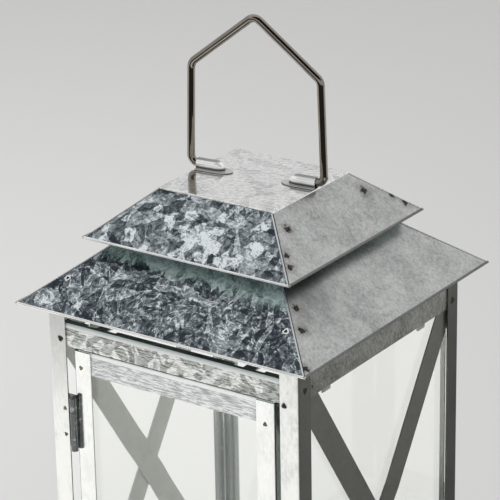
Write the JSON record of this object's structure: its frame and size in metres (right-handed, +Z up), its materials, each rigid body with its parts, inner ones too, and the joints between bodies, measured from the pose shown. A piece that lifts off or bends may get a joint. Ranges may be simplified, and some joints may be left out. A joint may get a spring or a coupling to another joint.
{
  "type": "candle lantern",
  "caption": "Square sheet-metal candle lantern with glazed sides, crossed side straps, a hinged glass door, a tiered hipped vent roof and a swinging wire carry handle.",
  "frame": {"origin": "middle of the square footprint, on the surface the lantern stands on", "axes": "+Z up, the door faces -Y, +X to the right when looking at the door"},
  "size_m": [0.21, 0.21, 0.4633],
  "materials": {
    "galvanised_frame": "satin galvanised",
    "galvanised_roof": "spangled galvanised",
    "bright_wire": "bright nickel",
    "dark_hinge": "blackened steel",
    "clear_glass": "clear float glass"
  },
  "bodies": {
    "lantern": {"base_pan": "galvanised_frame", "bottom_rail_back": "galvanised_frame", "bottom_rail_left": "galvanised_frame", "bottom_rail_right": "galvanised_frame", "brace_left_inner": "galvanised_frame", "brace_left_outer": "galvanised_frame", "brace_right_inner": "galvanised_frame", "brace_right_outer": "galvanised_frame", "door_stop": "galvanised_frame", "glass_back": "clear_glass", "glass_left": "clear_glass", "glass_right": "clear_glass", "handle_lug_left": "bright_wire", "handle_lug_right": "bright_wire", "header_rail": "galvanised_frame", "hinge_lower_frame_leaf": "dark_hinge", "hinge_lower_pin": "dark_hinge", "hinge_upper_frame_leaf": "dark_hinge", "hinge_upper_pin": "dark_hinge", "latch_rivet": "bright_wire", "latch_washer": "bright_wire", "lower_roof_back": "galvanised_roof", "lower_roof_front": "galvanised_roof", "lower_roof_left": "galvanised_roof", "lower_roof_right": "galvanised_roof", "post_back_left": "galvanised_frame", "post_back_right": "galvanised_frame", "post_front_left": "galvanised_frame", "post_front_right": "galvanised_frame", "roof_bracket_back": "galvanised_roof", "roof_bracket_front": "galvanised_roof", "roof_bracket_left": "galvanised_roof", "roof_bracket_right": "galvanised_roof", "sill_rail": "galvanised_frame", "top_plate": "galvanised_roof", "top_rail_back": "galvanised_frame", "top_rail_left": "galvanised_frame", "top_rail_right": "galvanised_frame", "upper_roof_back": "galvanised_roof", "upper_roof_front": "galvanised_roof", "upper_roof_left": "galvanised_roof", "upper_roof_right": "galvanised_roof"},
    "door": {"door_stile_hinge": "galvanised_frame", "door_stile_latch": "galvanised_frame", "door_rail_top": "galvanised_frame", "door_rail_bottom": "galvanised_frame", "door_glass": "clear_glass", "door_knob": "bright_wire", "hinge_upper_door_leaf": "dark_hinge", "hinge_lower_door_leaf": "dark_hinge"},
    "handle": {"carry_handle": "bright_wire"},
    "latch": {"turn_latch": "galvanised_frame"}
  },
  "joints": [
    {"name": "door_swing", "type": "hinge", "parent": "lantern", "child": "door", "pos_m": [-0.0723, -0.0945, 0.146], "axis": [0, 0, -1], "range_deg": [0, 180]},
    {"name": "handle_swing", "type": "hinge", "parent": "lantern", "child": "handle", "pos_m": [0, 0.0034, 0.3637], "axis": [0.9954, 0.0958, 0], "range_deg": [-90, 90]},
    {"name": "latch_turn", "type": "hinge", "parent": "lantern", "child": "latch", "pos_m": [0.085, -0.0926, 0.146], "axis": [0, 1, 0], "range_deg": [0, 90]}
  ]
}
